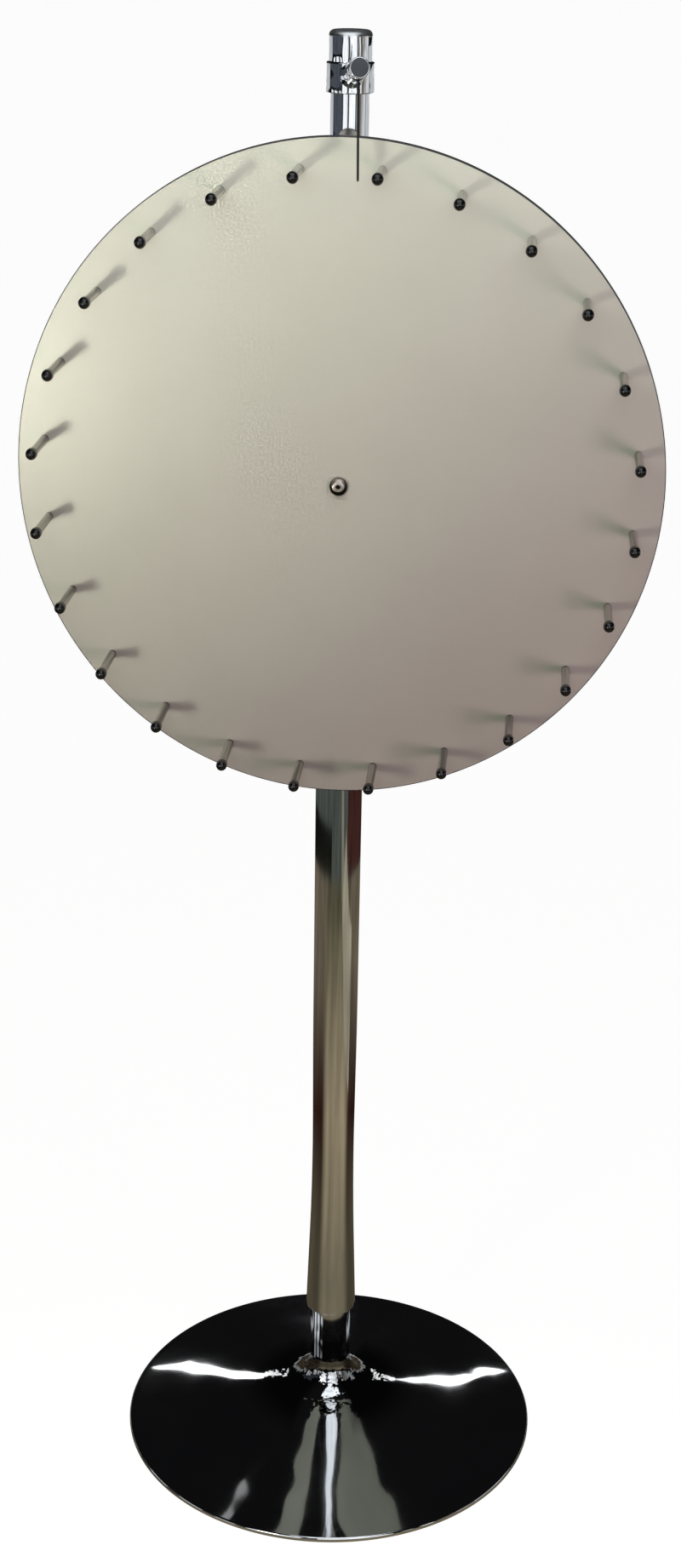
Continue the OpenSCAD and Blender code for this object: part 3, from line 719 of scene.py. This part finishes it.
end = dict(radius=5.2, length=10, lip=0.5, flat=0.02)
endShape = lathe([
    (0, pegTop + peg["stubLength"], 0),
    (peg["stub"], pegTop + peg["stubLength"], 0),
    (peg["stub"], pegTop, 0),
    (end["radius"], pegTop, end["lip"]),
    (end["radius"], pegTop + end["length"], end["radius"] - end["flat"]),
    (0, pegTop + end["length"], 0),
], sides=40, closed=False)
makePiece("pegEnds", place(copies(endShape, pegPlaces), onAxle), "wheel", capFinish, "peg_end", "peg_caps")


crossHead = dict(tip=0.4, edge=0.2, crown=1.4, depth=2.3)


def crossHeadScrew(head, shank, under, top, tip, recess):  # head from under to top, shank to tip
    lift = 1 if top > under else -1
    screw = lathe([
        (0, tip, 0),
        (shank, tip, crossHead["tip"]),
        (shank, under, 0),
        (head, under, crossHead["edge"]),
        (head, top, crossHead["crown"]),
        (0, top, 0),
    ], sides=48, closed=False)
    low, high = sorted((top - lift * crossHead["depth"], top + lift * cutNear))
    for long, short in ((recess, recess / 4), (recess / 4, recess)):
        screw = combine(screw, block((-long / 2, -short / 2, low), (long / 2, short / 2, high)))
    return screw


pegScrew = dict(head=3.8, shank=1.95, recess=3.6, washer=5, washerEdge=0.2, hole=2.1)
low, high = span("peg_screws")
washerBack = -span("peg_washers")[1].y
screw = crossHeadScrew(pegScrew["head"], pegScrew["shank"], washerBack, -high.y, -low.y, pegScrew["recess"])
makePiece("pegScrews", place(copies(screw, pegPlaces), onAxle), "wheel", steelFinish, "steel", "peg_screws")
disc = washer(pegScrew["hole"], pegScrew["washer"], washerBack, backStation, pegScrew["washerEdge"],
              sides=40)
makePiece("pegWashers", place(copies(disc, pegPlaces), onAxle), "wheel", steelFinish, "steel",
          "peg_washers")

hub = dict(flange=45, flangeDepth=6, barrel=17, seat=11, rib=9.5, fillet=3, edge=0.8, lip=0.3, mouth=0.5,
           groove=11.5, screws=6, screwCircle=33, screwHead=4.2, screwShank=1.95, recess=4, bearing=7)
low, high = span("wheel_hub")
tail = -high.y
flangeBack = backStation - hub["flangeDepth"]
races = span("outer_races")
rearSeat, frontSeat = -races[1].y, -races[0].y
clip = span("circlip")
makePiece("wheelHub", place(lathe([
    (hub["flange"], backStation, hub["lip"]),
    (hub["flange"], flangeBack, hub["edge"]),
    (hub["barrel"], flangeBack, hub["fillet"]),
    (hub["barrel"], tail, hub["edge"]),
    (hub["seat"], tail, hub["mouth"]),
    (hub["seat"], -clip[1].y, 0),
    (hub["groove"], -clip[1].y, 0),
    (hub["groove"], -clip[0].y, 0),
    (hub["seat"], -clip[0].y, 0),
    (hub["seat"], rearSeat + hub["bearing"], 0),
    (hub["rib"], rearSeat + hub["bearing"], 0),
    (hub["rib"], frontSeat - hub["bearing"], 0),
    (hub["seat"], frontSeat - hub["bearing"], 0),
    (hub["seat"], backStation, 0),
], sides=128), onAxle), "wheel", alloyFinish, "cast_alloy", "wheel_hub")
low, high = span("hub_screws")
hubPlaces = roundPlaces(hub["screws"], hub["screwCircle"])
screw = crossHeadScrew(hub["screwHead"], hub["screwShank"], flangeBack, -high.y, -low.y, hub["recess"])
makePiece("hubScrews", place(copies(screw, hubPlaces), onAxle), "wheel", steelFinish, "steel", "hub_screws")
print("wheel made")


# Axle

axle = dict(shank=3.95, tip=0.6, head=8.2, headHeight=5, headEdge=4.2, headLip=0.3, key=5, keyDepth=2.5,
            hole=4.1, across=13, bore=4, marksLift=0.6, shadeLift=2.1)
low, high = span("axle_screw")
headBase = -low.y - axle["headHeight"]
headReach = axle["head"] / 1000
boltFinish = socketScrew((0, 0, (hubHeight + axle["marksLift"]) / 1000), (0, 0, axle["shadeLift"] / 1000),
                         (headReach, 0, headReach))
bolt = lathe([
    (0, -high.y, 0),
    (axle["shank"], -high.y, axle["tip"]),
    (axle["shank"], headBase, 0),
    (axle["head"], headBase, axle["headLip"]),
    (axle["head"], -low.y, axle["headEdge"]),
    (0, -low.y, 0),
], sides=64, closed=False)
bolt = combine(bolt, hexagon(axle["key"], -low.y - axle["keyDepth"], -low.y + cutNear))
makePiece("axleScrew", place(bolt, onAxle), "mast", boltFinish, "steel", "axle_screw")
low, high = span("front_washer")
makePiece("frontWasher", place(washer(axle["hole"], high.x, -high.y, -low.y, edge=0.5), onAxle),
          "mast", nylonFinish, "black_nylon", "front_washer")
low, high = span("rear_washer")
makePiece("rearWasher", place(washer(axle["hole"], high.x, -high.y, -low.y), onAxle),
          "mast", steelFinish, "steel", "rear_washer")
low, high = span("axle_nut")
makePiece("axleNut", place(hexNut(axle["across"], axle["bore"], -high.y, -low.y), onAxle),
          "mast", steelFinish, "steel", "axle_nut")

saddle = dict(edge=1.4, holeReach=60)
for name, node in (("frontSaddle", "front_saddle"), ("rearSaddle", "rear_saddle")):
    low, high = span(node)
    body = softenEdges(block(low, high), saddle["edge"])
    body = combine(body, rod(upperRadius, low.z - cutPast, high.z + cutPast, sides=128))
    body = combine(body, place(rod(axle["hole"], -saddle["holeReach"], saddle["holeReach"]), onAxle))
    makePiece(name, body, "mast", alloyFinish, "cast_alloy", node)
print("axle made")


# The pieces inside keep their CAD shape and take these finishes

insides = {
    steelFinish: ["neck_plate", "tie_rod", "rod_washer", "rod_nut", "pole_plug", "collar_screw",
                  "axle_sleeve", "axle_spacers", "circlip", "flapper_spindle", "flapper_rivets"],
    bearingFinish: ["inner_races", "outer_races", "bearing_balls"],
    nylonFinish: ["mast_slider", "bearing_shields"],
    ironFinish: ["ballast"],
    rubberFinish: ["return_bush"],
}
for finish, nodes in insides.items():
    for node in nodes:
        frame["nodes"][node].data.materials[0] = finish


# Floor, backdrop, cards and lights

def glowing(name, colour, strength, vary=0):
    material = bpy.data.materials.new(name)
    material.use_nodes = True
    tree = material.node_tree
    tree.nodes.remove(tree.nodes["Principled BSDF"])
    glow = addNode(tree, "Emission", {"Color": (*colour, 1), "Strength": strength})
    if vary:
        least, most = strength * (1 - vary), strength * (1 + vary)
        power = remapped(tree, pattern(tree, 2, detail=4), 0.3, 0.7, least, most)
        tree.links.new(power, glow.inputs["Strength"])
    tree.links.new(glow.outputs["Emission"], tree.nodes["Material Output"].inputs["Surface"])
    return material


def stageObject(name, bm, material, unseenBy):
    mesh = bpy.data.meshes.new(name)
    bm.to_mesh(mesh)
    bm.free()
    mesh.materials.append(material)
    made = bpy.data.objects.new(name, mesh)
    for ray in unseenBy:
        setattr(made, "visible_" + ray, False)
    bpy.context.scene.collection.objects.link(made)


reflectedOnly = ("camera", "diffuse", "shadow", "transmission")


def facing(place, aim):
    return (Vector(aim) - Vector(place)).to_track_quat("-Z", "Y").to_matrix().to_4x4()


def card(name, place, aim, size, colour, strength, vary=0):  # seen in reflections only
    bm = bmesh.new()
    bmesh.ops.create_grid(bm, x_segments=1, y_segments=1, size=0.5)
    bmesh.ops.scale(bm, vec=(*size, 1), verts=bm.verts)
    bmesh.ops.transform(bm, matrix=Matrix.Translation(place) @ facing(place, aim), verts=bm.verts)
    stageObject(name, bm, glowing(name, colour, strength, vary), reflectedOnly)


def roomStrip(name, turns, distance, heights, colour, strength, vary):  # turns to the right of the front
    turn = radians(sum(turns) / 2)
    width = 2 * distance * tan(radians(turns[1] - turns[0]) / 2)
    place = Vector((distance * sin(turn), -distance * cos(turn), sum(heights) / 2))
    card(name, place, (0, 0, place.z), (width, heights[1] - heights[0]), colour, strength, vary)


def floorPatch(name, left, right, near, far, height, colour, vary):  # near and far in front of the pole
    place = Vector(((left + right) / 2, -(near + far) / 2, height))
    card(name, place, place + Vector((0, 0, 1)), (right - left, far - near), colour, 1, vary)


def floorSector(name, turns, near, far, height, material):  # part of a ring about the pole
    bm = bmesh.new()
    ends = [bm.verts.new((0, -distance, height)) for distance in (near, far)]
    line = bm.edges.new(ends)
    bmesh.ops.transform(bm, matrix=Matrix.Rotation(radians(turns[0]), 4, "Z"), verts=bm.verts)
    sweep = turns[1] - turns[0]
    bmesh.ops.spin(bm, geom=[*ends, line], cent=(0, 0, 0), axis=(0, 0, 1), angle=radians(sweep), steps=48,
                   use_merge=sweep == 360)
    stageObject(name, bm, material, reflectedOnly)


def shadedFloor(name, tones, vary):  # tones by distance, ahead of the pole and to its sides
    material = glowing(name, white, 1, vary)
    tree = material.node_tree
    space = addNode(tree, "TexCoord").outputs["Object"]
    away = addNode(tree, "VectorMath", operation="LENGTH")
    share = addNode(tree, "Math", {1: tones["reach"]}, operation="DIVIDE")
    unit = addNode(tree, "VectorMath", operation="NORMALIZE")
    turn = radians(tones["turn"])
    along = addNode(tree, "VectorMath", {1: (sin(turn), -cos(turn), 0)}, operation="DOT_PRODUCT")
    mix = addNode(tree, "MixRGB")
    tree.links.new(space, away.inputs[0])
    tree.links.new(away.outputs["Value"], share.inputs[0])
    tree.links.new(space, unit.inputs[0])
    tree.links.new(unit.outputs["Vector"], along.inputs[0])
    ahead = remapped(tree, along.outputs["Value"], *tones["widths"], 0, 1, "SMOOTHSTEP")
    tree.links.new(ahead, mix.inputs["Fac"])
    for side, key in (("aside", "Color1"), ("ahead", "Color2")):
        stops = [(distance / tones["reach"], colour) for distance, colour in tones[side]]
        tree.links.new(colourRamp(tree, share.outputs["Value"], *stops), mix.inputs[key])
    tree.links.new(mix.outputs["Color"], tree.nodes["Emission"].inputs["Color"])
    return material


def softLight(name, place, aim, size, power, colour, reflected=False, spread=180):
    light = bpy.data.lights.new(name, "AREA")
    light.shape = "RECTANGLE"
    light.size, light.size_y = size
    light.energy = power
    light.spread = radians(spread)
    light.color = colour
    lamp = bpy.data.objects.new(name, light)
    lamp.matrix_world = Matrix.Translation(place) @ facing(place, aim)
    lamp.visible_camera = False
    lamp.visible_glossy = reflected
    bpy.context.scene.collection.objects.link(lamp)


room = dict(radius=14, paper=0.97, shade=0.25, floor=12)
white = (1, 1, 1)
bm = bmesh.new()
bmesh.ops.create_uvsphere(bm, u_segments=48, v_segments=24, radius=room["radius"])
stageObject("backdrop", bm, glowing("backdrop", white, room["paper"]),
            ("diffuse", "glossy", "transmission", "shadow"))
bm = bmesh.new()
bmesh.ops.create_circle(bm, cap_ends=True, segments=96, radius=room["floor"])
floorFinish, tree, shader = newFinish("paleFloor", [room["shade"]] * 3, 0, 0.9)
shader.inputs["Emission Color"].default_value = (*white, 1)
shader.inputs["Emission Strength"].default_value = room["paper"]
shader.inputs["Specular IOR Level"].default_value = 0
stageObject("floor", bm, floorFinish, ("diffuse", "glossy", "transmission"))

floorTones = dict(
    edge=1.79, far=3.4, turn=14, widths=(0.2, 0.75), reach=2,
    ahead=((0.4, (0.21, 0.18, 0.12)), (0.77, (0.41, 0.335, 0.215)), (1.65, (0.11, 0.10, 0.06))),
    aside=((0.5, (0.09, 0.075, 0.048)), (0.8, (0.032, 0.013, 0.009)), (1.35, (0.17, 0.14, 0.095))),
)
nearFloor = shadedFloor("floorAround", floorTones, 0.3)
farFloor = glowing("floorFar", (0.085, 0.095, 0.083), 1, 0.4)
blackFloor = glowing("floorFarLeft", (0.006, 0.006, 0.005), 1)
redFloor = glowing("floorFarRight", (0.06, 0.022, 0.018), 1, 0.5)
around = (-180, 180)
# No two of these floors that overlap share a height
level = dict(lowest=-0.04, ring=-0.03, sector=-0.025, patch=-0.02)
edge, far = floorTones["edge"], floorTones["far"]
floorSector("floorAround", around, 0.1, edge, level["ring"], nearFloor)
floorSector("floorFar", around, edge, far, level["ring"], farFloor)
floorSector("floorFarLeft", (-155, -26), edge, 2.1, level["sector"], blackFloor)
floorSector("floorFarRight", (52, 165), edge, far, level["sector"], redFloor)
floorPatch("floorOuter", -3.2, 3.2, -2.2, far, level["lowest"], (0.045, 0.041, 0.037), 0.4)
floorPatch("floorRight", 0.85, 1.5, 0.05, 1.45, level["patch"], (0.38, 0.34, 0.25), 0.4)
floorPatch("floorStreak", 0.78, 1.15, 1.45, far, level["patch"], (0.28, 0.27, 0.21), 0.4)
floorPatch("floorBack", -4, 4, -12, -2.2, level["patch"], (0.8, 0.8, 0.8), 0.7)
card("lampBackLeft", (-1.48, 3.0, 1.50), (0, 0, 0.05), (0.11, 0.66), white, 4)
card("lampBackRight", (0.96, 3.0, 1.45), (0, 0, 0.05), (0.10, 0.54), white, 4)
dimPanel = (0.16, 0.165, 0.14)
card("overheadLeft", (-0.40, 0.85, 2.6), (-0.40, 0.85, 0), (0.18, 0.72), dimPanel, 1, vary=0.3)
card("overheadRight", (0.285, 0.95, 2.6), (0.285, 0.95, 0), (0.43, 0.72), dimPanel, 1, vary=0.3)
card("downlight", (-0.86, 0.92, 2.6), (0, 0, 0.05), (0.10, 0.10), white, 0.35)
ceiling = (0.92, 0.96, 1)
card("ceilingFront", (0.35, -1.2, 2.6), (0.35, -1.2, 0), (1.2, 2.0), ceiling, 1.5, vary=0.3)
card("ceilingNear", (0, -0.38, 1.9), (0, -0.38, 0), (0.7, 0.6), ceiling, 1.5, vary=0.3)
paleWall = (0.95, 0.97, 1)
slateWall = (0.72, 0.82, 1)
roomStrips = [  # turns, distance, heights, colour, strength and how much it varies
    ((-178, -109), 12, (0, 0.9), paleWall, 0.75, 0.5),
    ((-108, -37), 4.0, (1.12, 1.9), slateWall, 0.12, 0.5),
    ((-97, -84), 4.0, (0.2, 1.02), paleWall, 1.3, 0.3),
    ((-76, -60), 4.0, (0.2, 1.02), paleWall, 1.3, 0.3),
    ((-52, -40), 4.0, (0.2, 1.06), paleWall, 1.1, 0.3),
    ((-35, -9), 3.5, (0.45, 3.4), paleWall, 1.5, 0.4),
    ((-8, -1), 3.5, (0.45, 2.4), slateWall, 0.12, 0.4),
    ((0, 37), 3.5, (0.45, 3.4), paleWall, 1.5, 0.5),
    ((42, 47), 3.5, (0.45, 1.7), paleWall, 0.5, 0.4),
    ((52, 60), 3.5, (0.45, 1.7), paleWall, 1.2, 0.4),
    ((62, 71), 3.5, (0.45, 1.7), (1, 0.9, 0.78), 0.22, 0.5),
    ((72, 82), 3.5, (0.45, 1.7), (1, 0.95, 0.88), 0.6, 0.5),
    ((83, 112), 3.7, (0.45, 1.7), paleWall, 0.9, 0.6),
    ((114, 178), 12, (0, 0.9), paleWall, 0.75, 0.5),
]
for i, strip in enumerate(roomStrips):
    roomStrip(f"roomStrip{i}", *strip)

window = (-0.68, -1.40, 0.93)
softLight("windowLeft", window, (-0.2, 0, 1.15), (0.26, 0.26), 3.2, (1, 0.97, 0.80), reflected=True)
softLight("windowBeam", window, (-0.3, 0, 1.3), (0.16, 0.16), 0.30, (0.98, 1, 0.78), spread=40)
softLight("lampRight", (0.9, -1.2, 0.92), (0.1, 0, 1.1), (0.4, 0.4), 3.8, (1, 0.67, 0.74))
softLight("ceilingLeft", (-0.02, -0.3, 1.6), (-0.05, 0, 1.25), (0.8, 0.5), 1.62, (0.92, 1, 0.88))
softLight("behind", (0, 1.1, 1.5), (0, 0.06, 1.2), (1.0, 1.0), 2.4, (1, 0.98, 0.95), spread=70)

world = bpy.data.worlds.new("dimRoom")
world.use_nodes = True
world.node_tree.nodes["Background"].inputs["Color"].default_value = (0.006, 0.006, 0.0065, 1)
bpy.context.scene.world = world
print("stage set")


# Camera; pixels are of the 800 by 1842 frame

shot = dict(place=(0.17005, -2.12643, 1.64424), yaw=-4.3926, pitch=28.6635, roll=1.0056,
            focalPixels=2580.86, axisRow=1250, frameHeight=1842, sensor=36)
yaw, pitch, roll = (radians(shot[key]) for key in ("yaw", "pitch", "roll"))
forward = Vector((sin(yaw) * cos(pitch), cos(yaw) * cos(pitch), -sin(pitch)))
right = Vector((cos(yaw), -sin(yaw), 0))
up = right.cross(forward)
camera = bpy.data.cameras.new("camera")
camera.sensor_width = shot["sensor"]
camera.lens = shot["focalPixels"] / shot["frameHeight"] * shot["sensor"]
camera.shift_y = (shot["axisRow"] - shot["frameHeight"] / 2) / shot["frameHeight"]
eye = bpy.data.objects.new("camera", camera)
across = right * cos(roll) + up * sin(roll)
upright = up * cos(roll) - right * sin(roll)
turned = Matrix((across, upright, -forward)).transposed().to_4x4()
eye.matrix_world = Matrix.Translation(shot["place"]) @ turned
bpy.context.scene.collection.objects.link(eye)
bpy.context.scene.camera = eye
bpy.context.scene.view_settings.view_transform = "Standard"
print("camera set")
